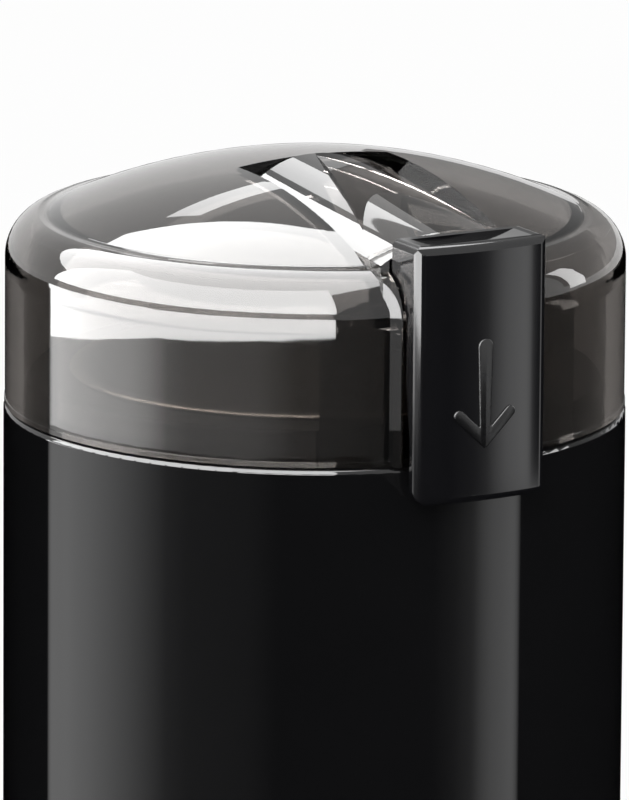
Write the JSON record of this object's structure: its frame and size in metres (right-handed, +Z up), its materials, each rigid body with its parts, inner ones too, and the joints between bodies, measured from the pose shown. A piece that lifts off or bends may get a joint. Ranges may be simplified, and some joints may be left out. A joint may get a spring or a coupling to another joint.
{
  "type": "electric spice grinder",
  "caption": "Blade grinder with a black cylindrical body, steel bowl, smoke-clear domed lid that lifts off and a sliding lid button that works the motor switch.",
  "frame": {"origin": "on the table, under the axis of the body and motor shaft", "axes": "+Z up along the shaft, -Y to the front where the button is, +X to the right as seen from the front"},
  "size_m": [0.088, 0.0927, 0.1704],
  "materials": {
    "gloss_black_shell": "high-gloss moulded ABS",
    "black_moulding": "fine-spark moulded plastic",
    "bowl_steel": "deep-drawn stainless steel, polished inside",
    "soft_rubber": "matt moulded rubber",
    "zinc_screw": "zinc-plated steel",
    "cast_bracket": "die-cast aluminium",
    "core_steel": "stacked electrical steel",
    "enamelled_wire": "enamelled copper wire, varnished",
    "brown_moulding": "phenolic moulding",
    "carbon": "pressed carbon",
    "spring_steel": "bright spring steel wire",
    "bearing_steel": "ground bearing steel",
    "pale_moulding": "natural glass-filled nylon",
    "switch_case": "thermoset switch case",
    "terminal_brass": "stamped brass",
    "shaft_steel": "ground steel",
    "commutator_copper": "turned copper segments",
    "nylon": "natural nylon",
    "blade_steel": "stamped and ground stainless steel",
    "hub_moulding": "black acetal",
    "smoke_clear": "clear smoke-tinted moulded plastic",
    "button_black": "satin-gloss moulded ABS",
    "pin_red": "red acetal"
  },
  "bodies": {
    "base": {"outer_housing": "gloss_black_shell", "top_deck": "black_moulding", "grinding_bowl": "bowl_steel", "bowl_gasket": "soft_rubber", "shaft_seal": "soft_rubber", "base_cover": "black_moulding", "rubber_feet": "soft_rubber", "inlet_bush": "soft_rubber", "base_screws": "zinc_screw", "deck_screws": "zinc_screw", "motor_top_bracket": "cast_bracket", "motor_bottom_bracket": "cast_bracket", "motor_mounts": "soft_rubber", "motor_screws": "zinc_screw", "stator_core": "core_steel", "field_coils": "enamelled_wire", "brush_holders": "brown_moulding", "carbon_brushes": "carbon", "brush_springs": "spring_steel", "top_bearing": "bearing_steel", "bottom_bearing": "bearing_steel", "switch_bracket": "pale_moulding", "bracket_screws": "zinc_screw", "switch_body": "switch_case", "switch_terminals": "terminal_brass", "switch_screws": "zinc_screw", "rod_spring": "spring_steel"},
    "rotor": {"motor_shaft": "shaft_steel", "rotor_core": "core_steel", "armature_windings": "enamelled_wire", "commutator": "commutator_copper", "thrust_washers": "nylon", "grinding_blade": "blade_steel", "blade_hub": "hub_moulding", "blade_washer": "hub_moulding"},
    "lid": {"lid_shell": "smoke_clear", "pocket_cover": "smoke_clear", "button_spring": "spring_steel"},
    "button": {"push_button": "button_black", "button_retainer": "black_moulding"},
    "actuator": {"actuator_rod": "nylon"},
    "lever": {"switch_lever": "spring_steel"},
    "pin": {"switch_pin": "pin_red"}
  },
  "joints": [
    {"name": "rotor_spin", "type": "hinge", "parent": "base", "child": "rotor", "pos_m": [0, 0, 0.065], "axis": [0, 0, 1], "continuous": true},
    {"name": "lid_lift", "type": "slide", "parent": "base", "child": "lid", "axis": [0, 0, 1], "range_m": [0, 0.075]},
    {"name": "button_press", "type": "slide", "parent": "lid", "child": "button", "axis": [0, 0, -1], "range_m": [0, 0.0035], "stiffness_N_per_m": 600, "springref_m": -0.002, "deforming": ["button_spring"]},
    {"name": "rod_press", "type": "slide", "parent": "base", "child": "actuator", "axis": [0, 0, -1], "range_m": [0, 0.0035], "stiffness_N_per_m": 300, "springref_m": -0.002, "deforming": ["rod_spring"]},
    {"name": "lever_tilt", "type": "hinge", "parent": "base", "child": "lever", "pos_m": [0.0125, -0.03342, 0.08283], "axis": [0, -1, 0], "range_deg": [0, 13.5]},
    {"name": "pin_press", "type": "slide", "parent": "base", "child": "pin", "axis": [0, 0, -1], "range_m": [0, 0.0012]}
  ],
  "couplings": [
    {"joint": "rod_press", "follows": "button_press", "ratio": 1},
    {"joint": "lever_tilt", "follows": "button_press", "rad_per_m": 66.667},
    {"joint": "pin_press", "follows": "button_press", "ratio": 0.33333}
  ]
}
